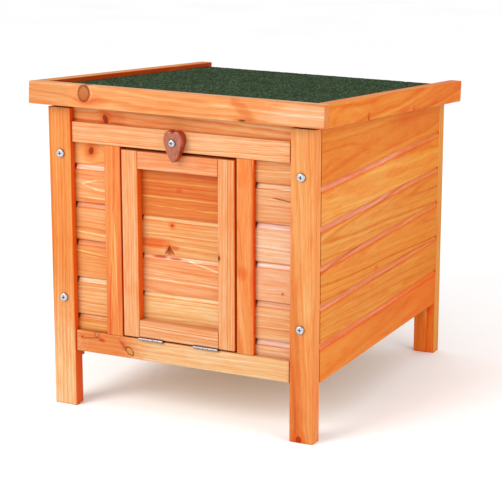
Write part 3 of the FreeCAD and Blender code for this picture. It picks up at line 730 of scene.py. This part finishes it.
RIGHT_PLANKS = {
    6: dict(pith=(60.0, 40.0), spacing=2.2, contrast=0.6, tint=(0.91, 0.90, 0.98)),
    5: dict(
        LAPPED, pith=(50.0, 40.0), spacing=2.2, contrast=0.6, tint=(0.90, 0.86, 1.0), bevel=(1.08, 1.5, 2.0),
        spots=(streak(127.0, 313.6, 160.0, 310.5, 1.3, CRACK, 1.0, 0.4),)),
    4: dict(LAPPED, pith=(-60.0, 40.0), spacing=2.2, contrast=0.5, late=0.2, tint=(0.96, 1.18, 1.9)),
    3: dict(
        LAPPED, pith=(60.0, 40.0), spacing=2.2, contrast=0.35, late=0.12, pale=0.1, tint=(0.95, 1.0, 1.42),
        bevel=(1.05, 1.35, 1.9), spots=(knot(143.4, 191.0, 1.4, 1.4),)),
    2: dict(LAPPED, pith=(-50.0, 40.0), taper=0.0, spacing=2.2, contrast=0.5, late=0.35,
            tint=(0.93, 0.97, 1.18)),
    1: dict(LAPPED, pith=(50.0, 40.0), spacing=2.2, contrast=0.6, tint=(0.94, 1.12, 1.7)),
}
PANELLED = dict(lap=(3.0, 5.6), bevel=(1.05, 1.32, 1.7))
DOOR_PLANKS = {
    4: dict(
        pith=(-60.0, 30.0), taper=0.0, spacing=2.2, contrast=0.5, pale=0.1, tint=(0.80, 0.46, 0.24),
        spots=(
            streak(-84.0, 317.6, 80.0, 318.2, 1.9, LINE, 1.0, 0.2),
            streak(-84.0, 297.6, 80.0, 297.0, 1.6, LINE, 1.0, 0.3),
            streak(-84.0, 287.4, 80.0, 284.4, 1.6, LINE, 1.0, 0.5),
            patch(-6.0, 309.0, 6.0, 4.0, (0.95, 0.5, 0.4), 0.8),
            patch(40.0, 330.0, 50.0, 7.0, (1.0, 0.7, 0.6), 0.8),
        )),
    3: dict(
        PANELLED, pith=(-30.0, 30.0), taper=0.008, spacing=1.9, wander=6.0, contrast=0.5,
        tint=(0.92, 0.90, 0.88),
        spots=(
            knot(-16.4, 261.6, 2.5, 2.7, halo=0.95),
            patch(-47.0, 236.0, 30.0, 8.0, (0.93, 0.46, 0.24), 0.95),
            knot(-21.3, 229.6, 4.2, 2.8, core=(0.16, 0.055, 0.010), halo=0.8),
            patch(-20.6, 225.6, 5.6, 3.4, (0.55, 0.36, 0.26), 0.9),
            streak(-28.0, 221.5, -19.0, 235.5, 1.8, (0.55, 0.30, 0.18), 0.9, 0.2),
            streak(-13.0, 221.5, -22.0, 235.5, 1.8, (0.60, 0.22, 0.12), 0.9, 0.2),
            patch(-12.0, 232.0, 6.0, 4.0, (0.86, 0.36, 0.20), 0.8),
        )),
    2: dict(
        PANELLED, pith=(-34.0, 26.0), taper=0.008, spacing=2.2, wander=7.0, contrast=0.4,
        tint=(0.94, 0.82, 0.88), bevel=(1.10, 1.7, 2.8),
        spots=(
            streak(2.0, 218.0, 70.0, 202.0, 1.8, LINE, 1.0, 0.2),
            streak(-80.0, 199.0, 74.0, 193.0, 1.4, FAINT_LINE, 0.8, 0.4),
            streak(-80.0, 188.0, 74.0, 186.0, 1.4, FAINT_LINE, 0.7, 0.4),
            patch(-35.0, 218.2, 13.0, 2.4, (0.66, 0.12, 0.035), 0.95),
            patch(-12.0, 217.6, 12.0, 1.8, (0.70, 0.16, 0.05), 0.9),
        )),
    1: dict(PANELLED, pith=(60.0, 30.0), taper=0.0, spacing=2.2, contrast=0.5, tint=(0.97, 1.20, 1.45),
            bevel=(1.03, 1.15, 1.3)),
}


def board_defaults(name):
    """The look of a board that BOARDS doesn't list, by its name."""
    if name.startswith("side_"):
        return dict(WALL, lap=None if name.endswith("6") else WALL["lap"])
    if name.startswith("floor_bearer"):
        return dict(SIDES)
    if name.startswith("corner_batten"):
        return dict(UPRIGHTS, tint=(0.90, 0.55, 0.28))
    if name.startswith("back_plank"):
        lap = None if name.endswith("6") else WALL["lap"]
        return dict(ROWS, lap=lap, tint=(0.95, 0.80, 0.62), contrast=0.8)
    return dict(ROWS, tint=(0.95, 0.80, 0.62))


def dress_boards():
    """Every solid board gets pine of its own."""
    for subpart in frame["record"]["subparts"]:
        name = subpart["node"]
        if subpart["material_slot"] not in ("frame_pine", "plank_pine"):
            continue
        if name in ("front_planks_left", "front_planks_right", "door_planks"):
            continue
        look = dict(BOARDS.get(name) or board_defaults(name))
        chooser = random.Random(name + "_board")
        look.setdefault("pith", (chooser.uniform(-30.0, 30.0), chooser.uniform(10.0, 50.0)))
        width = look.pop("width")
        clamp = look.pop("clamp", False)
        if name == "front_header_rail":
            make_header(wood(name, **look), width)
        else:
            dress(name, wood(name, **look), width, clamp)
    for node, body, looks, neighbour in (
        ("front_planks_left", "hutch", LEFT_PLANKS, "front_leg_left"),
        ("front_planks_right", "hutch", RIGHT_PLANKS, "front_batten_right"),
        ("door_planks", "door", DOOR_PLANKS, "door_stile_left"),
    ):
        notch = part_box(neighbour)[1].x / MM
        for number, plank in enumerate(split_planks(node, body), 1):
            plank.data.materials.append(wood(plank.name, box=mesh_box(plank), notch=notch, **looks[number]))
            soften(plank, 0.25, True)


def plywood():
    """Unglazed plywood of the lid panel and the floor."""
    material, graph = new_material("plywood")
    x, y, z = (part * (1.0 / MM) for part in graph.split(graph.node("ShaderNodeTexCoord", "Object")))
    flow = graph.noise(graph.combine(x / 160.0, y / 22.0, 3.0), 1.0, 3.0, 0.6)
    fibre = graph.noise(graph.combine(x / 40.0, y * 0.9, z * 0.9), 1.0, 2.0, 0.6)
    ply = graph.math("PINGPONG", z, 1.2) / 1.2
    normal = graph.split(graph.node("ShaderNodeTexCoord", "Normal"))
    side = 1.0 - graph.smooth(graph.math("ABSOLUTE", normal[2]), 0.4, 0.7)
    tone = flow * 0.7 + fibre * 0.4 - 0.05
    stops = ((0.2, (0.50, 0.30, 0.15)), (0.55, (0.66, 0.44, 0.24)), (0.85, (0.75, 0.55, 0.33)))
    colour = graph.ramp(tone, stops)
    colour = graph.mix(side * graph.smooth(ply, 0.45, 0.6), colour, (0.62, 0.50, 0.40), "MULTIPLY")
    finish_material(graph, colour, 0.6 + fibre * 0.2, fibre, (0.3, 0.0004))
    return material


def zinc(name, tint):
    """Zinc plate with faint spangle, with painted shade in its recesses, multiplied by tint."""
    material, graph = new_material(name)
    place = graph.node("ShaderNodeTexCoord", "Object")
    cloud = graph.noise(place, 420.0, 3.0, 0.6)
    fine = graph.noise(place, 2600.0, 2.0, 0.5)
    stops = ((0.3, (0.34, 0.35, 0.37)), (0.5, (0.46, 0.48, 0.51)), (0.7, (0.58, 0.60, 0.64)))
    colour = graph.ramp(cloud, stops)
    # Painted shade: zinc near other surfaces is darkened by ambient occlusion
    near = graph.node("ShaderNodeAmbientOcclusion", "AO", {"Distance": 0.0035}, samples=6)
    colour = graph.mix(1.0 - graph.smooth(near, 0.3, 0.95), colour, (0.10, 0.11, 0.13), "MULTIPLY")
    colour = graph.mix(1.0, colour, tint, "MULTIPLY")
    finish_material(graph, colour, 0.26 + fine * 0.2, fine, (0.12, 0.0001), Metallic=1.0)
    return material


def latch_finish():
    """Red-brown moulded plastic with faint swirls of flow and satin gloss, with painted shade in its recesses and
    on its side faces.
    """
    material, graph = new_material("latch_plastic")
    place = graph.node("ShaderNodeTexCoord", "Object")
    x, y, z = (part * (1.0 / MM) for part in graph.split(place))
    warp = graph.noise(graph.combine(x / 9.0, y / 9.0, z / 9.0), 1.0, 2.0) - 0.5
    flow = graph.noise(graph.combine(x / 2.6 + warp * 2.5, y / 9.0, z / 12.0 + warp), 1.0, 3.0, 0.6)
    grit = graph.noise(graph.combine(x * 2.0, y * 2.0, z * 2.0), 1.0, 2.0)
    stops = ((0.32, (0.18, 0.034, 0.012)), (0.5, (0.27, 0.066, 0.026)), (0.7, (0.36, 0.108, 0.048)))
    colour = graph.ramp(flow, stops)
    # Painted shade: the plastic near other surfaces is darkened by ambient occlusion
    near = graph.node("ShaderNodeAmbientOcclusion", "AO", {"Distance": 0.006}, samples=6)
    colour = graph.mix(1.0 - graph.smooth(near, 0.2, 0.9), colour, (0.45, 0.25, 0.15), "MULTIPLY")
    # Painted shade: faces that don't look forward or back are tinted darker red
    facing = graph.math("ABSOLUTE", graph.split(graph.node("ShaderNodeTexCoord", "Normal"))[1])
    colour = graph.mix(1.0 - graph.smooth(facing, 0.2, 0.75), colour, (1.25, 0.42, 0.22), "MULTIPLY")
    finish_material(graph, colour, 0.34 + grit * 0.14, grit, (0.15, 0.0002), Specular_IOR_Level=0.5)
    return material


def felt_finish():
    """Roofing felt: green mineral grains, each of its own tone, on dark bitumen."""
    material, graph = new_material("felt")
    place = graph.node("ShaderNodeTexCoord", "Object")
    cells = graph.node("ShaderNodeTexVoronoi", "Color", {"Vector": place, "Scale": 900.0})
    grain = graph.split(cells)[0]
    edge = graph.node("ShaderNodeTexVoronoi", "Distance", {"Vector": place, "Scale": 900.0})
    slow = graph.noise(place, 26.0, 3.0, 0.6)
    speck = graph.noise(place, 480.0, 2.0, 0.6)
    tone = grain * 0.55 + slow * 0.35 + speck * 0.35 - 0.12
    colour = graph.ramp(
        tone,
        ((0.15, (0.006, 0.014, 0.004)), (0.5, (0.018, 0.038, 0.010)), (0.72, (0.042, 0.078, 0.027)),
         (0.92, (0.15, 0.20, 0.13))))
    colour = graph.mix(graph.smooth(edge, 0.35, 0.75), colour, (0.35, 0.38, 0.32), "MULTIPLY")
    flakes = graph.split(graph.node("ShaderNodeTexVoronoi", "Color", {"Vector": place, "Scale": 480.0}))
    colour = graph.mix(graph.smooth(flakes[0], 0.80, 0.84) * 0.8, colour, (0.095, 0.150, 0.080))
    colour = graph.mix(graph.smooth(flakes[1], 0.74, 0.78), colour, (0.35, 0.42, 0.34), "MULTIPLY")
    height = grain * 0.6 - edge * 0.6
    finish_material(graph, colour, 0.8 + grain * 0.15, height, (0.7, 0.0006), Specular_IOR_Level=0.05)
    return material


def make_felt(material):
    """A sheet of felt with grains on it and a ragged back edge, in place of the plain CAD sheet."""
    chooser = random.Random(8)
    low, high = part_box("lid_felt")
    corners = [vertex.co for vertex in nodes["lid_felt"].data.vertices]
    front_top = max(corner.z for corner in corners if corner.y < low.y + 0.001)
    back_top = max(corner.z for corner in corners if corner.y > high.y - 0.001)
    fall = (back_top - front_top) / (high.y - low.y)
    thickness = front_top - min(corner.z for corner in corners if corner.y < low.y + 0.001)
    columns, rows = 190, 226
    mesh = bpy.data.meshes.new("felt_sheet")
    build = bmesh.new()
    ragged = [0.0]
    for _ in range(columns):
        ragged.append(max(0.0, min(1.0, ragged[-1] * 0.75 + chooser.uniform(-0.32, 0.42))))
    grid = []
    for row in range(rows + 1):
        line = []
        for column in range(columns + 1):
            x = low.x + (high.x - low.x) * column / columns
            share = row / rows
            end = high.y - 0.0026 * ragged[column]
            y = low.y + (end - low.y) * share
            top = front_top + fall * (y - low.y)
            dip = 0.00045 * chooser.random() ** 2
            if 0 < row < rows:
                y += chooser.uniform(-0.0004, 0.0004)
            if row == rows:
                dip += 0.0003 + 0.0005 * ragged[column]
            line.append(build.verts.new((x, y, top - dip)))
        grid.append(line)
    for row in range(rows):
        for column in range(columns):
            build.faces.new(
                (grid[row][column], grid[row][column + 1], grid[row + 1][column + 1], grid[row + 1][column]))
    rim = grid[0] + [line[-1] for line in grid[1:]] + grid[-1][-2::-1] + [line[0] for line in grid[-2:0:-1]]
    clearance = 0.00002
    under = []
    for vertex in rim:
        x, y, _ = vertex.co
        under.append(build.verts.new((x, y, front_top + fall * (y - low.y) - thickness + clearance)))
    for number in range(len(rim)):
        after = (number + 1) % len(rim)
        build.faces.new((rim[number], under[number], under[after], rim[after]))
    build.faces.new(under)
    bmesh.ops.recalc_face_normals(build, faces=build.faces)
    build.to_mesh(mesh)
    build.free()
    felt = bpy.data.objects.new("felt_sheet", mesh)
    scene.collection.objects.link(felt)
    mesh.materials.append(material)
    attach(felt, "lid")
    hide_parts("lid_felt")


def arc(start, through, end, count):
    """Points on the circle through three points, without the last one."""
    (ax, ay), (bx, by), (cx, cy) = start, through, end
    twice = 2.0 * (ax * (by - cy) + bx * (cy - ay) + cx * (ay - by))
    a2, b2, c2 = ax * ax + ay * ay, bx * bx + by * by, cx * cx + cy * cy
    ox = (a2 * (by - cy) + b2 * (cy - ay) + c2 * (ay - by)) / twice
    oy = (a2 * (cx - bx) + b2 * (ax - cx) + c2 * (bx - ax)) / twice
    radius = math.hypot(ax - ox, ay - oy)
    first = math.atan2(ay - oy, ax - ox)
    middle = math.atan2(by - oy, bx - ox)
    last = math.atan2(cy - oy, cx - ox)
    clockwise = (first - middle) % math.tau < (middle - first) % math.tau
    turn = -((first - last) % math.tau) if clockwise else (last - first) % math.tau
    angles = [first + turn * number / count for number in range(count)]
    return [(ox + radius * math.cos(angle), oy + radius * math.sin(angle)) for angle in angles]


def make_latch(material):
    """The drop-shaped turn latch, with a moulded rounded face. Its outline is in millimetres."""
    low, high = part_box("latch")
    pivot = Vector(next(joint["pos_m"] for joint in frame["joints"] if joint["name"] == "latch_turn"))
    right = [
        ((0.0, 13.0), (6.0, 15.2), (12.0, 9.5), 14),
        ((12.0, 9.5), (13.8, 3.0), (11.6, -5.5), 12),
        ((11.6, -5.5), (8.2, -15.5), (3.4, -23.2), 12),
    ]
    half = [point for piece in right for point in arc(*piece)]
    bottom = arc((3.4, -23.2), (0.0, -25.5), (-3.4, -23.2), 8)
    outline = half + bottom + [(-3.4, -23.2)] + [(-x, z) for x, z in reversed(half[1:])]
    count = len(outline)
    normals = []
    for number in range(count):
        (x0, z0), (x1, z1) = outline[number - 1], outline[(number + 1) % count]
        across, up = x1 - x0, z1 - z0
        reach = math.hypot(across, up)
        normals.append((-up / reach, across / reach))
    area = sum(
        outline[i][0] * outline[(i + 1) % count][1] - outline[(i + 1) % count][0] * outline[i][1]
        for i in range(count))
    inward = 1.0 if area > 0 else -1.0
    thickness = (high.y - low.y) / MM
    layers = [(0.0, 0.7), (0.35, 0.15), (0.9, 0.0), (thickness - 2.2, 0.1)]
    for step in range(1, 8):
        angle = math.pi / 2.0 * step / 7.0
        layers.append((thickness - 2.2 + 1.8 * math.sin(angle), 0.1 + 1.7 * (1.0 - math.cos(angle))))
    layers += [(thickness - 0.25, 3.4), (thickness - 0.1, 6.0), (thickness, 9.3)]
    build = bmesh.new()
    rings = []
    for depth, inset in layers:
        ring = []
        for (x, z), (nx, nz) in zip(outline, normals):
            shrink = max(0.12, 1.0 - inset / 12.4)
            moved_x, moved_z = x + nx * inset * inward, z + nz * inset * inward
            if inset <= 1.0:
                px, pz = moved_x, moved_z
            elif inset < 2.5:
                px, pz = x * shrink * 0.55 + moved_x * 0.45, z * shrink * 0.55 + moved_z * 0.45
            else:
                px, pz = x * shrink, z * (shrink + 1.0) / 2.0
            ring.append(build.verts.new((pivot.x + px * MM, high.y - depth * MM, pivot.z + pz * MM)))
        rings.append(ring)
    for first, second in zip(rings, rings[1:]):
        for number in range(count):
            after = (number + 1) % count
            build.faces.new((first[number], first[after], second[after], second[number]))
    build.faces.new(rings[0])
    build.faces.new(rings[-1])
    bmesh.ops.recalc_face_normals(build, faces=build.faces)
    mesh = bpy.data.meshes.new("latch_drop")
    build.to_mesh(mesh)
    build.free()
    mesh.shade_smooth()
    latch = bpy.data.objects.new("latch_drop", mesh)
    scene.collection.objects.link(latch)
    mesh.materials.append(material)
    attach(latch, "latch")
    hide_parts("latch")


def dress_metal():
    """Screws, hinges and pins."""
    bright = zinc("zinc_screws", (0.96, 0.98, 1.0))
    dull = zinc("zinc_hinges", (0.56, 0.50, 0.50))
    for subpart in frame["record"]["subparts"]:
        if subpart["material_slot"] == "zinc":
            name = subpart["node"]
            piece = nodes[name]
            piece.data.materials.clear()
            piece.data.materials.append(dull if "hinge" in name and "screw" not in name else bright)


def make_floor():
    """A plain pale floor under the hutch."""
    material, graph = new_material("floor")
    place = graph.node("ShaderNodeTexCoord", "Object")
    cloud = graph.noise(place, 3.0, 2.0)
    colour = graph.ramp(cloud, ((0.3, (0.93, 0.93, 0.93)), (0.7, (0.96, 0.96, 0.96))))
    finish_material(graph, colour, 0.9, None, Specular_IOR_Level=0.1)
    mesh = bpy.data.meshes.new("floor")
    size = 30.0
    corners = [(-size, -size, 0), (size, -size, 0), (size, size, 0), (-size, size, 0)]
    mesh.from_pydata(corners, [], [(0, 1, 2, 3)])
    mesh.materials.append(material)
    floor = bpy.data.objects.new("floor", mesh)
    scene.collection.objects.link(floor)


def make_light(name, setup):
    """A square softbox aimed at the middle of the hutch."""
    lamp = bpy.data.lights.new(name, "AREA")
    lamp.shape = "SQUARE"
    lamp.size = setup["size"]
    lamp.energy = setup["watts"]
    light = bpy.data.objects.new(name, lamp)
    light.location = setup["from"]
    aim = Vector((0.0, 0.0, 0.22)) - Vector(setup["from"])
    light.rotation_euler = aim.to_track_quat("-Z", "Y").to_euler()
    scene.collection.objects.link(light)


def make_world():
    """Even white surroundings."""
    world = bpy.data.worlds.new("studio")
    scene.world = world
    world.use_nodes = True
    background = world.node_tree.nodes["Background"]
    background.inputs["Color"].default_value = (1.0, 1.0, 1.0, 1.0)
    background.inputs["Strength"].default_value = WORLD_STRENGTH


def make_camera():
    """The camera at the photograph's angle."""
    yaw, pitch = CAMERA_YAW, CAMERA_PITCH
    forward = Vector((math.sin(yaw) * math.cos(pitch), math.cos(yaw) * math.cos(pitch), math.sin(pitch)))
    right = Vector((math.cos(yaw), -math.sin(yaw), 0.0))
    up = right.cross(forward)
    turn = Matrix((right, up, -forward)).transposed()
    data = bpy.data.cameras.new("camera")
    data.lens = CAMERA_LENS
    data.sensor_width = 36.0
    camera = bpy.data.objects.new("camera", data)
    camera.matrix_world = Matrix.Translation(CAMERA_PLACE) @ turn.to_4x4()
    scene.collection.objects.link(camera)
    scene.camera = camera


scene.view_settings.view_transform = "Standard"
scene.view_settings.exposure = EXPOSURE
make_camera()
make_world()
make_light("key", KEY)
make_light("fill", FILL)
make_floor()
dress_boards()
dress("lid_panel", plywood(), 0.3, True)
dress("floor_panel", nodes["lid_panel"].data.materials[0], 0.3, True)
dress_metal()
make_latch(latch_finish())
make_felt(felt_finish())
